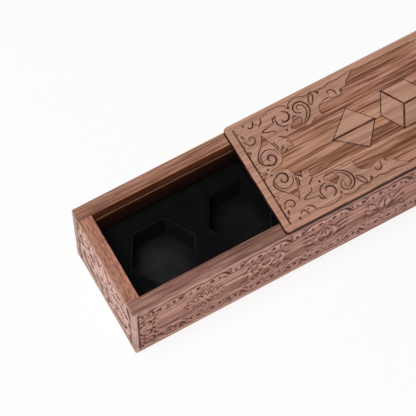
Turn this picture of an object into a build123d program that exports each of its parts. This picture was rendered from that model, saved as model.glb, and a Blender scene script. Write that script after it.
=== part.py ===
from build123d import *
import os
from math import cos, radians, sin, sqrt

# A walnut chest for dice, in millimetres. Four butt-jointed walls stand on a let-in
# base and hold a black insert with a row of hexagonal pockets. The lid lies on the
# walls' tops and is held down by a T-shaped runner, which slides in a groove in each
# long wall and leaves over the low right-hand end wall.
# +X is the way the lid opens, +Y is the back and +Z is up. The origin is the centre
# of the flat underside of the box. The lid is drawn part open.

# Insert and its pockets
pocket_count = 6
pocket_flats = 27.0         # across the flats, which run along the chest
pocket_web = 7.0            # from one pocket's point to the next, and to the insert's end
side_web = 7.4              # from a pocket's flat to the insert's long side
pocket_corner = 1.5         # radius down each corner of a pocket
pocket_chamfer = 1.4        # bevel round each pocket's rim
pocket_floor = 3.0          # stock left under the lowest point of a pocket
dish_radius = 100.0         # hollow of each pocket's floor
insert_height = 21.5
insert_gap = 0.25           # all round, inside the walls

# Walls and base
wall_thickness = 6.35
end_thickness = 6.35
wall_height = 48.0
corner_ease = 0.6           # bevel down the four outer corners
base_thickness = 4.0
base_rabbet = 3.0           # how far the base is let into the walls
tenon_thickness = 3.0
tenon_length = 2.0          # how far an end wall's tongue enters a long wall
tenon_shoulder = 8.0        # plain wall above and below each tongue

# Lid groove in the long walls
lip_height = 5.5            # wall left above the groove
groove_height = 2.8
groove_depth = 2.4

# Lid
lid_thickness = 3.4
lid_overhang = 0.4          # past the walls on every side
lid_corner = 2.0
lid_edge = 0.8              # rounding of the upper edge
lid_open = 74.3             # how far open the lid is drawn
slide_gap = 0.15            # above and below the runner's flanges, and under the panel
side_gap = 0.3              # beside the runner's neck and beside its flanges
stop_gap = 0.3              # from the runner's end to the left end wall, closed

# Catch magnets
magnet_diameter = 5.0
magnet_thickness = 2.0
magnet_spacing = 24.0
magnet_glue = 0.05          # round each magnet
magnet_sink = 0.1           # below the surface

# Cuts in the lid's face
figure_count = 7
figure_pitch = 25.2
figure_radius = 11.8        # centre to point of the largest outlines
stroke_width = 1.2
stroke_depth = 0.6
border_margin = 3.5         # from the panel's edge to the border line
border_width = 0.8

# Sizes that follow
pocket_points = pocket_flats * 2 / sqrt(3)
pocket_pitch = pocket_points + pocket_web
insert_length = pocket_count * pocket_pitch + pocket_web
insert_width = pocket_flats + 2 * side_web
inner_length = insert_length + 2 * insert_gap
inner_width = insert_width + 2 * insert_gap
box_length = inner_length + 2 * end_thickness
box_width = inner_width + 2 * wall_thickness
groove_floor = wall_height - lip_height - groove_height
lid_base = wall_height + slide_gap
lid_top = lid_base + lid_thickness
runner_base = groove_floor + slide_gap
flange_top = wall_height - lip_height - slide_gap
runner_length = box_length - end_thickness - stop_gap
magnet_height = (runner_base + lid_base) / 2
closed_stop = -inner_length / 2 + stop_gap


def block(x_span, y_span, z_span):
    """A box between two corners, given as a span along each axis."""
    size = [span[1] - span[0] for span in (x_span, y_span, z_span)]
    return Pos(x_span[0], y_span[0], z_span[0]) * Box(*size, align=(Align.MIN,) * 3)


def about_zero(length):
    """A span of this length with its middle at zero."""
    return -length / 2, length / 2


def base_panel():
    """The floor of the box, let into a rabbet in all four walls and flush with them."""
    length = inner_length + 2 * base_rabbet
    width = inner_width + 2 * base_rabbet
    return block(about_zero(length), about_zero(width), (0, base_thickness))


def end_wall(side, top):
    """An end wall between the long walls, with a tongue at each edge."""
    middle = side * (inner_length + end_thickness) / 2
    wall = block(about_zero(end_thickness), about_zero(inner_width), (0, top))
    tongue_width = inner_width + 2 * tenon_length
    tongue_span = (tenon_shoulder, top - tenon_shoulder)
    wall += block(about_zero(tenon_thickness), about_zero(tongue_width), tongue_span)
    return Pos(middle, 0, 0) * wall


def front_wall(base, left_end, right_end):
    """The front wall: grooved for the lid, rabbeted for the base, housed for the ends."""
    wall = block(about_zero(box_length), (-box_width / 2, -inner_width / 2), (0, wall_height))
    outer_corners = wall.edges().filter_by(Axis.Z).group_by(Axis.Y)[0]
    wall = chamfer(outer_corners, corner_ease)
    groove_span = (-inner_width / 2 - groove_depth, 0)
    wall -= block(
        (-inner_length / 2, box_length), groove_span, (groove_floor, groove_floor + groove_height)
    )
    return wall - base - left_end - right_end


def hexagonal_pocket():
    """One pocket's space: a bevelled hexagon over a dished floor, its mouth at z = 0."""
    depth = insert_height - pocket_floor
    outline = RegularPolygon(pocket_flats / 2, 6, major_radius=False)
    outline = fillet(outline.vertices(), pocket_corner)
    space = Pos(0, 0, -depth) * extrude(outline, depth + pocket_chamfer)
    space &= Pos(0, 0, dish_radius - depth) * Sphere(dish_radius)
    bevel = extrude(outline, pocket_chamfer, taper=-45)
    return space + Pos(0, 0, -pocket_chamfer) * bevel


def insert():
    """The black block that fills the box's lower half, with its row of pockets."""
    top = base_thickness + insert_height
    body = block(about_zero(insert_length), about_zero(insert_width), (base_thickness, top))
    pocket = hexagonal_pocket()
    for index in range(pocket_count):
        place = (index - (pocket_count - 1) / 2) * pocket_pitch
        body -= Pos(place, 0, top) * pocket
    return body


def stroke(start, end):
    """A straight round-ended line between two points."""
    start, end = Vector(*start), Vector(*end)
    along = end - start
    bar = SlotCenterToCenter(along.length, stroke_width)
    middle = (start + end) * 0.5
    turn = Vector(1, 0, 0).get_signed_angle(along, Vector(0, 0, 1))
    return Pos(middle.X, middle.Y) * Rot(0, 0, turn) * bar


def ring(count, radius, first_angle):
    """Points evenly spaced on a circle."""
    angles = [radians(first_angle + 360 * index / count) for index in range(count)]
    return [(radius * cos(angle), radius * sin(angle)) for angle in angles]


def closed(points):
    """The sides of a closed outline."""
    return list(zip(points, points[1:] + points[:1]))


def octahedron():
    """Eight-sided die: a diamond with its middle edge."""
    half = figure_radius * 0.9
    lean = figure_radius * 0.16
    points = [(half, 0), (lean, half), (-half, 0), (lean, -half)]
    return closed(points) + [(points[0], points[2])]


def cube():
    """Six-sided die: a hexagon with three edges that meet in the middle."""
    points = ring(6, figure_radius, 0)
    return closed(points) + [((0, 0), points[index]) for index in (0, 2, 4)]


def tetrahedron():
    """Four-sided die: a triangle with one edge towards the viewer."""
    points = ring(3, figure_radius, 90)
    return closed(points) + [((0, 0), point) for point in points]


def icosahedron():
    """Twenty-sided die: a hexagon round one upright face."""
    outer = ring(6, figure_radius, 30)
    inner = ring(3, figure_radius * 0.58, 90)
    sides = closed(outer) + closed(inner)
    for index, point in enumerate(inner):
        sides += [(point, outer[(2 * index + step) % 6]) for step in (0, 1, 2)]
    return sides


def dodecahedron():
    """Twelve-sided die: a decagon round one upright face."""
    outer = ring(10, figure_radius * 0.98, 90)
    inner = ring(5, figure_radius * 0.55, 90)
    return closed(outer) + closed(inner) + list(zip(inner, outer[::2]))


def kite_die(turn):
    """Ten-sided die: a squat hexagon round one kite-shaped face."""
    reach = figure_radius * 0.97
    belt = figure_radius * 0.22
    top, low, side = (0, reach), (0, -reach), figure_radius * 0.86
    knee = (0, -belt * 1.9)
    outline = [top, (side, belt), (side, -belt), low, (-side, -belt), (-side, belt)]
    kite = [top, (side * 0.62, -belt), knee, (-side * 0.62, -belt)]
    links = [(kite[1], outline[2]), (kite[3], outline[4]), (knee, low)]
    sides = closed(outline) + closed(kite) + links
    return [[(turn * x, turn * y) for x, y in side_points] for side_points in sides]


def lid_figures():
    """The strokes of the row of dice outlines, from the lid's left end to its right."""
    row = [octahedron(), cube(), tetrahedron(), icosahedron()]
    row += [kite_die(1), dodecahedron(), kite_die(-1)]
    strokes = Sketch()
    for index, sides in enumerate(row[:figure_count]):
        place = (index - (figure_count - 1) / 2) * figure_pitch
        strokes += [Pos(place, 0) * stroke(start, end) for start, end in sides]
    return strokes


def lid_panel():
    """The lid's face: a thin board with a border line and a row of dice outlines."""
    length = box_length + 2 * lid_overhang
    width = box_width + 2 * lid_overhang
    outline = RectangleRounded(length, width, lid_corner)
    panel = Pos(0, 0, lid_base) * extrude(outline, lid_thickness)
    panel = fillet(panel.faces().sort_by(Axis.Z)[-1].edges(), lid_edge)
    border = Rectangle(length - 2 * border_margin, width - 2 * border_margin)
    inside = 2 * (border_margin + border_width)
    border -= Rectangle(length - inside, width - inside)
    cuts = extrude(border + lid_figures(), -stroke_depth)
    return panel - Pos(0, 0, lid_top) * cuts


def lid_runner():
    """The T-shaped rail under the lid: its neck passes the lips, its flanges the grooves."""
    x_span = (closed_stop, closed_stop + runner_length)
    neck = block(x_span, about_zero(inner_width - 2 * side_gap), (runner_base, lid_base))
    flange_width = inner_width + 2 * (groove_depth - side_gap)
    return neck + block(x_span, about_zero(flange_width), (runner_base, flange_top))


def magnet_row(face, radius, thickness):
    """Two round blanks side by side, sunk towards -X or +X from an upright face."""
    rows = [Pos(face, side * magnet_spacing / 2, magnet_height) for side in (-1, 1)]
    blank = Rot(0, 90, 0) * Cylinder(radius, abs(thickness))
    return [row * Pos(thickness / 2, 0, 0) * blank for row in rows]


def main():
    """Make every piece where it lies with the lid part open, and write it out."""
    base = base_panel()
    left_end = end_wall(-1, wall_height)
    right_end = end_wall(1, groove_floor)
    front = front_wall(base, left_end, right_end)
    runner = lid_runner()

    hole_radius = magnet_diameter / 2 + magnet_glue
    hole_depth = magnet_thickness + magnet_sink
    left_face = -inner_length / 2
    left_end -= magnet_row(left_face, hole_radius, -hole_depth)
    runner -= magnet_row(closed_stop, hole_radius, hole_depth)
    radius = magnet_diameter / 2
    wall_magnets = magnet_row(left_face - magnet_sink, radius, -magnet_thickness)
    lid_magnets = magnet_row(closed_stop + magnet_sink, radius, magnet_thickness)

    fixed = {
        "base_panel": base,
        "front_wall": front,
        "back_wall": mirror(front, Plane.XZ),
        "left_end_wall": left_end - base,
        "right_end_wall": right_end - base,
        "insert": insert(),
        "wall_magnet_front": wall_magnets[0],
        "wall_magnet_back": wall_magnets[1],
    }
    sliding = {
        "lid_panel": lid_panel(),
        "lid_runner": runner,
        "lid_magnet_front": lid_magnets[0],
        "lid_magnet_back": lid_magnets[1],
    }
    pieces = dict(fixed)
    for name, piece in sliding.items():
        pieces[name] = Pos(lid_open, 0, 0) * piece

    os.makedirs("parts", exist_ok=True)
    for name, piece in pieces.items():
        export_step(piece, f"parts/{name}.step")


main()
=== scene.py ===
from math import ceil, cos, pi, radians, sin

import bmesh
import bpy
import numpy as np
from mathutils import Matrix, Vector


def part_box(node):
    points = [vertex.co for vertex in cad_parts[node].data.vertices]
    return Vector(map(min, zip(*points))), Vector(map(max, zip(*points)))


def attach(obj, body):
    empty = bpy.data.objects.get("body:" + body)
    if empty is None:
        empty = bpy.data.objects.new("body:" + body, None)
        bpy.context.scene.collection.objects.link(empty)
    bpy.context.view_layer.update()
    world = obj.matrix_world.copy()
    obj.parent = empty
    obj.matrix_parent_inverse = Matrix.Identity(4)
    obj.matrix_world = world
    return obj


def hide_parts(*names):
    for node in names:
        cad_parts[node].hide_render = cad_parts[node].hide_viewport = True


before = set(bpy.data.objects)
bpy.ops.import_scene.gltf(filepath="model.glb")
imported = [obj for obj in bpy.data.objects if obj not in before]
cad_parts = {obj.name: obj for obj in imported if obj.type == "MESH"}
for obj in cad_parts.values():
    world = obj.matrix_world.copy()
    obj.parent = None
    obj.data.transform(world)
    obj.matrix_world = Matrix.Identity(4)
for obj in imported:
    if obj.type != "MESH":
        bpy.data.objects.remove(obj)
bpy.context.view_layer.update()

MM = 0.001

# The camera, from the photograph's perspective: what it looks at on the box's top
# plane, where it stands, and its lens
CAMERA_TARGET = Vector((-0.0734, -0.0001, 0.048))
CAMERA_DISTANCE = 0.9353
CAMERA_HEADING = radians(29.63)  # of its view, from +Y towards +X
CAMERA_ELEVATION = radians(67.28)
CAMERA_ROLL = radians(-0.33)
CAMERA_LENS = 190.3  # millimetres
CAMERA_SENSOR = 36

# Carving, in millimetres
LID_FINE = 0.235  # finest spacing of a carved face's mesh
WALL_FINE = 0.29
LARGEST_CELL = 8  # how many of those the largest cell is across
FLAT_ENOUGH = 0.015  # furthest a cell's surface is from the carving
EVEN_ENOUGH = 0.2  # and the marks that darken it, from 0 to 1
LID_DEPTH = 0.45  # of the lid's lowered ground and cut lines
WALL_DEPTH = 0.62
GROUND_SLOPE = 0.3  # width of the slope down to the ground
DARK_EDGE = 0.9  # how dark the foot of a raised shape is, char and painted shadow at the step
# Each face's char and painted shadow: the dark foot's width, a hollow's floor and a
# field's edge
LID_CHAR_AND_SHADE = (0.55, 0.12, 0.75)
WALL_CHAR_AND_SHADE = (0.6, 0.8, 0.5)
LINE_WIDTH = 0.8
CURVE_STEP = 0.4  # furthest apart that a curve's points are
SKIN = 0.9  # thickness of a wall's carved skin
CORNER_BEVEL = 0.6  # down the box's outer corners
BOX_EASE = 0.3  # rounding of the walls' long outer edges
SEAM = 0.12  # depth and half width of the corners' joint lines
LID_ROUND = 0.8  # rounding of the lid's upper edge
EDGE_CHAR_AND_SHADE = 0.97  # how dark the lid's cut sides and lower rounding are: laser char and painted shadow
EDGE_START, EDGE_FADE = 0.08, 0.3  # where that begins, down the rounding, and its span
LID_CORNER = 2.0  # the lid's corners, seen from above
BORDER = 3.5  # plain margin at the lid's ends

# The lid's row of dice outlines, placed as in the solid
FIGURE_PITCH = 25.2
FIGURE_RADIUS = 11.8
FACET_GAP = 0.3  # from a facet's outline in to its raised plate
STROKE_WIDTH = 1.1  # of the lines between facets
RIM_WIDTH = 0.4  # of the lines round a figure

# The long walls' friezes and field
BAY_PITCH = 30.0
UPPER_ARCH, LOWER_ARCH = 1.7, 1.2  # widths of the arches' lines
FIELD_INSET = 12.2  # of the plain field from the wall's ends

# The size that the end walls' ornament is drawn at, and its margins on each
DRAWN_REACH, DRAWN_RISE = 24.5, 42.0
LEFT_MARGIN, RIGHT_MARGIN = 2.6, 3.0


# ---- Curves in a carved face's plane, as arrays of points in millimetres ----

def smooth(points, closed=False):
    """A rounded curve through the points."""
    points = np.array(points, float)
    if closed:
        points = np.vstack([points[-1], points, points[0], points[1]])
    else:
        points = np.vstack([2 * points[0] - points[1], points,
                            2 * points[-1] - points[-2]])
    curve = []
    for before, start, end, after in zip(points, points[1:], points[2:], points[3:]):
        steps = max(2, ceil(np.hypot(*(end - start)) / CURVE_STEP))
        for t in np.arange(steps) / steps:
            curve.append(0.5 * (2 * start + (end - before) * t
                                + (2 * before - 5 * start + 4 * end - after) * t ** 2
                                + (3 * start - before - 3 * end + after) * t ** 3))
    if not closed:
        curve.append(points[-2])
    return np.array(curve)




def ellipse(centre, across, along, turn=0.0):
    """A closed ellipse; along is its half length in the direction turn, in degrees."""
    angle = np.linspace(0, 2 * pi, 28, endpoint=False)
    x, y = along * np.cos(angle), across * np.sin(angle)
    c, s = cos(radians(turn)), sin(radians(turn))
    return np.stack([centre[0] + c * x - s * y, centre[1] + s * x + c * y], 1)


def leaf(root, tip, half, bend=0.0):
    """A pointed leaf's closed outline; bend bows its middle line to the left."""
    root, tip = np.array(root, float), np.array(tip, float)
    along = tip - root
    side = np.array((-along[1], along[0])) / np.hypot(*along)
    t = np.linspace(0, 1, 15)[:, None]
    spine = root + along * t + side * bend * np.sin(pi * t)
    width = half * np.sin(pi * t ** 0.8)
    return np.vstack([spine + side * width, (spine - side * width)[::-1]])


def band(curve, *halves):
    """A closed outline round a curve, with half widths at even steps along it."""
    step = np.gradient(curve, axis=0)
    step /= np.hypot(step[:, 0], step[:, 1])[:, None]
    side = np.stack([-step[:, 1], step[:, 0]], 1)
    share = np.linspace(0, 1, len(curve))
    half = np.interp(share, np.linspace(0, 1, len(halves)), halves)[:, None]
    return np.vstack([curve + side * half, (curve - side * half)[::-1]])


def ring(count, radius, first_angle):
    """Points evenly spaced on a circle about zero."""
    angle = np.radians(first_angle + 360 * np.arange(count) / count)
    return np.stack([radius * np.cos(angle), radius * np.sin(angle)], 1)


def shrink(outline, gap):
    """A closed straight-sided outline with each side moved in by gap."""
    outline = np.array(outline, float)
    following = np.roll(outline, -1, 0)
    if sum(a[0] * b[1] - a[1] * b[0] for a, b in zip(outline, following)) < 0:
        outline = outline[::-1]
    moved = []
    for before, corner, after in zip(np.roll(outline, 1, 0), outline,
                                     np.roll(outline, -1, 0)):
        first = (corner - before) / np.hypot(*(corner - before))
        second = (after - corner) / np.hypot(*(after - corner))
        normal = np.array((-first[1] - second[1], first[0] + second[0]))
        normal /= np.hypot(*normal)
        lean = max(0.35, normal @ (-first[1], first[0]))
        moved.append(corner + normal * gap / lean)
    return np.array(moved)


class Pattern:
    """Cuts and raised shapes in their own millimetres, to be put together on a face."""

    def __init__(self):
        self.grounds, self.plates, self.hollows, self.lines = [], [], [], []

    def ground(self, outline):
        """A closed outline inside which the face is lowered."""
        self.grounds.append(np.array(outline, float))

    def plate(self, *outlines):
        """Closed outlines that stay at the face's own level."""
        self.plates += [np.array(outline, float) for outline in outlines]

    def hollow(self, *outlines):
        """Closed outlines cut into what is raised."""
        self.hollows += [np.array(outline, float) for outline in outlines]

    def line(self, points, width=LINE_WIDTH):
        """A round-bottomed cut along the points."""
        self.lines.append((np.array(points, float), width))

    def strokes(self, *rows):
        """Cuts along rounded curves; each row is a width, then the curve's points."""
        for width, *points in rows:
            self.line(smooth(points), width)

    def dots(self, width, *places):
        """Small round hollows."""
        for x, y in places:
            self.line([(x - 0.02, y), (x + 0.02, y)], width)

    def add(self, other, centre=(0, 0), turn=0.0, scale=(1, 1)):
        """Puts another pattern's marks here, scaled or mirrored, turned, then moved."""
        c, s = cos(radians(turn)), sin(radians(turn))
        spin = np.array(((c, s), (-s, c)))

        def place(points):
            return (points * scale) @ spin + centre

        self.grounds += [place(outline) for outline in other.grounds]
        self.plates += [place(outline) for outline in other.plates]
        self.hollows += [place(outline) for outline in other.hollows]
        self.lines += [(place(points), width) for points, width in other.lines]

    def both(self, other):
        """Puts another pattern here with its mirror image."""
        self.add(other)
        self.add(other, scale=(-1, 1))

    def corners(self, other, width, height):
        """Puts another pattern in each corner of a face, mirrored to suit."""
        for y, up in ((0, 1), (height, -1)):
            for x, across in ((0, 1), (width, -1)):
                self.add(other, (x, y), scale=(across, up))


def grid_lines(fine, *stops):
    """Evenly spaced lines between stops, a whole number of largest cells in each."""
    lines = [np.array([stops[0]], float)]
    for start, end in zip(stops, stops[1:]):
        count = LARGEST_CELL * ceil((end - start) / fine / LARGEST_CELL)
        lines.append(np.linspace(start, end, count + 1)[1:])
    return np.concatenate(lines)


class Relief:
    """How deep a face is cut, in millimetres, on a fine grid of points."""

    def __init__(self, x, y, char, fields=None):
        self.x, self.y, self.char = x, y, char
        self.burn, self.hollow_char, self.edge_shade_and_char = char
        self.rows, self.columns = len(y) - 1, len(x) - 1
        if fields is None:
            fields = np.zeros((3, self.rows + 1, self.columns + 1))
        self.depth, self.line, self.ground = fields     # the last two from 0 to 1

    def window(self, x_span, y_span):
        """The part of the face between these places, sharing the face's own fields."""
        area = tuple(slice(*np.searchsorted(line, np.array(span) + (-1e-6, 1e-6)))
                     for line, span in ((self.y, y_span), (self.x, x_span)))
        fields = [field[area] for field in (self.depth, self.line, self.ground)]
        return Relief(self.x[area[1]], self.y[area[0]], self.char, fields)

    def around(self, points, reach):
        """The part of the face within reach of the points."""
        low, high = points.min(0) - reach, points.max(0) + reach
        return self.window((low[0], high[0]), (low[1], high[1]))

    def distances(self, points, reach):
        """Distance from the polyline wherever it is under reach."""
        found = np.full_like(self.depth, reach)
        for a, b in zip(points, points[1:]):
            low, high = np.minimum(a, b) - reach, np.maximum(a, b) + reach
            columns = slice(*np.searchsorted(self.x, (low[0], high[0])))
            rows = slice(*np.searchsorted(self.y, (low[1], high[1])))
            x = self.x[columns][None, :] - a[0]
            y = self.y[rows][:, None] - a[1]
            along = b - a
            t = np.clip((x * along[0] + y * along[1]) / max(along @ along, 1e-9), 0, 1)
            near = np.hypot(x - t * along[0], y - t * along[1])
            found[rows, columns] = np.minimum(found[rows, columns], near)
        return found

    def inside(self, outline):
        """Which grid points lie inside a closed outline."""
        flips = np.zeros((self.rows + 1, self.columns + 2))
        for (ax, ay), (bx, by) in zip(outline, outline[1:]):
            if ay != by:
                rows = np.arange(*np.searchsorted(self.y, (min(ay, by), max(ay, by))))
                crossing = ax + (self.y[rows] - ay) * (bx - ax) / (by - ay)
                np.add.at(flips, (rows, np.searchsorted(self.x, crossing)), 1)
        return np.cumsum(flips, 1)[:, :-1] % 2 > 0.5

    def survey(self, outline):
        """The face round a closed outline, what is inside, and how far its edge is."""
        here = self.around(outline, self.burn)
        outline = np.vstack([outline, outline[:1]])
        return here, here.inside(outline), here.distances(outline, self.burn)

    def lower(self, outline, depth, edge, char):
        """Lowers what is inside a closed outline, with a sloped edge darkened by char and
        painted shadow.
        """
        here, inside, near = self.survey(outline)
        share = np.where(inside, np.minimum(near / GROUND_SLOPE, 1), 0)
        # the dark foot inside the edge: char and painted shadow at the step
        foot = np.where(inside, edge * (1 - near / self.burn), 0)
        here.depth[:] = np.maximum(here.depth, depth * share)
        here.ground[:] = np.maximum(here.ground, share)
        here.line[:] = np.maximum(here.line, np.maximum(foot, char * share))

    def keep(self, outline):
        """Brings what is inside a closed outline back to the face's own level."""
        here, inside, near = self.survey(outline)
        share = np.where(inside, 0, np.minimum(near / GROUND_SLOPE, 1))
        # the dark foot round what stays raised: char and painted shadow at the step
        foot = np.where(inside, 0, DARK_EDGE * (1 - near / self.burn))
        foot = foot * np.clip(here.ground * 3, 0, 1)
        here.depth[:] = here.depth * share
        here.line[:] = np.maximum(here.line * share, foot)
        here.ground[:] = here.ground * share

    def groove(self, points, width, depth):
        """Cuts a round-bottomed line; a curved one tapers at its ends."""
        count = len(points) - 1
        for i in range(count):
            taper = 1 if count < 3 else 0.6 + 0.6 * sin(pi * (i + 0.5) / count) ** 0.7
            half = width / 2 * taper
            here = self.around(points[i:i + 2], half)
            share = 1 - (here.distances(points[i:i + 2], half) / half) ** 2
            here.depth[:] = np.maximum(here.depth, depth * share)
            here.line[:] = np.maximum(here.line, share)

    def cut(self, pattern, depth):
        """Carves a whole pattern: its ground, what stands on it, then its cuts."""
        for outline in pattern.grounds:
            self.lower(outline, depth, self.edge_shade_and_char, 0)
        for outline in pattern.plates:
            self.keep(outline)
        for outline in pattern.hollows:
            self.lower(outline, depth, DARK_EDGE, self.hollow_char)
        for points, width in pattern.lines:
            self.groove(points, width, depth)

    # ---- The mesh: square cells, large on flats and fine where the face is cut ----

    def _flat(self, size):
        """Which blocks of this size are even enough to be one cell."""
        steps = np.arange(size + 1)
        rows = np.arange(0, self.rows, size)[:, None] + steps[None, :]
        columns = np.arange(0, self.columns, size)[:, None] + steps[None, :]
        t = steps / size
        flat = True
        for field, limit in ((self.depth, FLAT_ENOUGH), (self.line, EVEN_ENOUGH),
                             (self.ground, EVEN_ENOUGH)):
            blocks = field[rows[:, None, :, None], columns[None, :, None, :]]
            low, high = blocks[:, :, :1, :], blocks[:, :, -1:, :]
            edge_low = low[..., :1] + (low[..., -1:] - low[..., :1]) * t
            edge_high = high[..., :1] + (high[..., -1:] - high[..., :1]) * t
            plane = edge_low + (edge_high - edge_low) * t[:, None]
            flat = flat & (np.abs(blocks - plane).max((2, 3)) < limit)
        return flat

    def _cell_sizes(self):
        """The cell's size over each finest square; neighbours differ twofold at most."""
        def blocks(sizes, size):
            return sizes.reshape(self.rows // size, size, -1, size)

        sizes = np.ones((self.rows, self.columns), int)
        for size in (2, 4, 8):
            whole = blocks(sizes, size).min((1, 3)) == size // 2
            flat = np.kron(self._flat(size) & whole, np.ones((size, size), bool))
            sizes[flat] = size
        changed = True
        while changed:
            changed = False
            for size in (8, 4):
                near = np.pad(sizes, 1, mode="edge")
                least = np.minimum.reduce([
                    near[1:-1, 1:-1], near[:-2, 1:-1], near[2:, 1:-1], near[1:-1, :-2],
                    near[1:-1, 2:]])
                least = np.kron(blocks(least, size).min((1, 3)),
                                np.ones((size, size), int))
                split = (sizes == size) & (least < size // 2)
                sizes[split] = size // 2
                changed = changed or split.any()
        return sizes

    def cells(self):
        """Which grid points the mesh uses, and each face as their numbers in order."""
        sizes = self._cell_sizes()
        r, c = np.mgrid[0:self.rows, 0:self.columns]
        first = (r % sizes == 0) & (c % sizes == 0)
        r, c, s = r[first], c[first], sizes[first]
        used = np.zeros(self.depth.shape, bool)
        for row, column in ((r, c), (r, c + s), (r + s, c + s), (r + s, c)):
            used[row, column] = True
        steps = ((0, 0), (0, 1), (0, 2), (1, 2), (2, 2), (2, 1), (2, 0), (1, 0))
        rows = np.stack([r + s * a // 2 for a, b in steps], 1)
        columns = np.stack([c + s * b // 2 for a, b in steps], 1)
        kept = used[rows, columns]
        kept[s == 1, 1::2] = False
        number = np.full(used.shape, -1)
        number[used] = np.arange(used.sum())
        faces = [tuple(ids[keep]) for ids, keep in zip(number[rows, columns], kept)]
        return used, faces


# ---- Objects ----

def new_object(name, data):
    """Links a new object that holds this mesh, lamp or camera."""
    made = bpy.data.objects.new(name, data)
    bpy.context.scene.collection.objects.link(made)
    return made


def new_mesh():
    """An empty mesh with the two layers that say how a vertex was carved; the cut layer
    also holds painted shadow.
    """
    bm = bmesh.new()
    bm.verts.layers.float.new("cut")
    bm.verts.layers.float.new("ground")
    return bm


def carved_sheet(bm, relief, place, skin):
    """Adds a carved face to a mesh, with its rim drawn in to the depth skin.

    place turns arrays of x, y and depth, in millimetres, into points in metres."""
    cut = bm.verts.layers.float["cut"]
    low = bm.verts.layers.float["ground"]
    used, faces = relief.cells()
    rows, columns = np.nonzero(used)
    depths = relief.depth[rows, columns]
    verts = [bm.verts.new(p) for p in place(relief.x[columns], relief.y[rows], depths)]
    for vert, line, ground in zip(verts, relief.line[rows, columns],
                                  relief.ground[rows, columns]):
        vert[cut] = line
        vert[low] = ground
    for face in faces:
        bm.faces.new([verts[i] for i in face]).smooth = True

    number = np.full(used.shape, -1)
    number[used] = np.arange(len(verts))
    sides = (number[0, :-1], number[:-1, -1], number[-1, :0:-1], number[:0:-1, 0])
    rim = [i for side in sides for i in side if i >= 0]
    inner_points = place(relief.x[columns[rim]], relief.y[rows[rim]],
                         np.full(len(rim), skin))
    inner = [verts[i] if depths[i] > skin - 1e-6 else bm.verts.new(point)
             for i, point in zip(rim, inner_points)]
    # the sides take the rim's darkening, which on the lid is char and painted shadow
    for i, vert in zip(rim, inner):
        vert[cut] = verts[i][cut]
    for i, j in zip(range(len(rim)), [*range(1, len(rim)), 0]):
        corners = [verts[rim[j]], verts[rim[i]], inner[i], inner[j]]
        corners = list(dict.fromkeys(corners))
        if len(corners) > 2:
            bm.faces.new(corners)
    return inner


def finish_mesh(name, bm, body, node, material):
    """Turns a mesh being built into a piece that stands for a node."""
    bmesh.ops.recalc_face_normals(bm, faces=bm.faces)
    mesh = bpy.data.meshes.new(name)
    bm.to_mesh(mesh)
    bm.free()
    mesh.materials.append(material)
    piece = new_object(name, mesh)
    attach(piece, body)
    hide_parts(node)


# ---- Carved ornament ----

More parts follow.
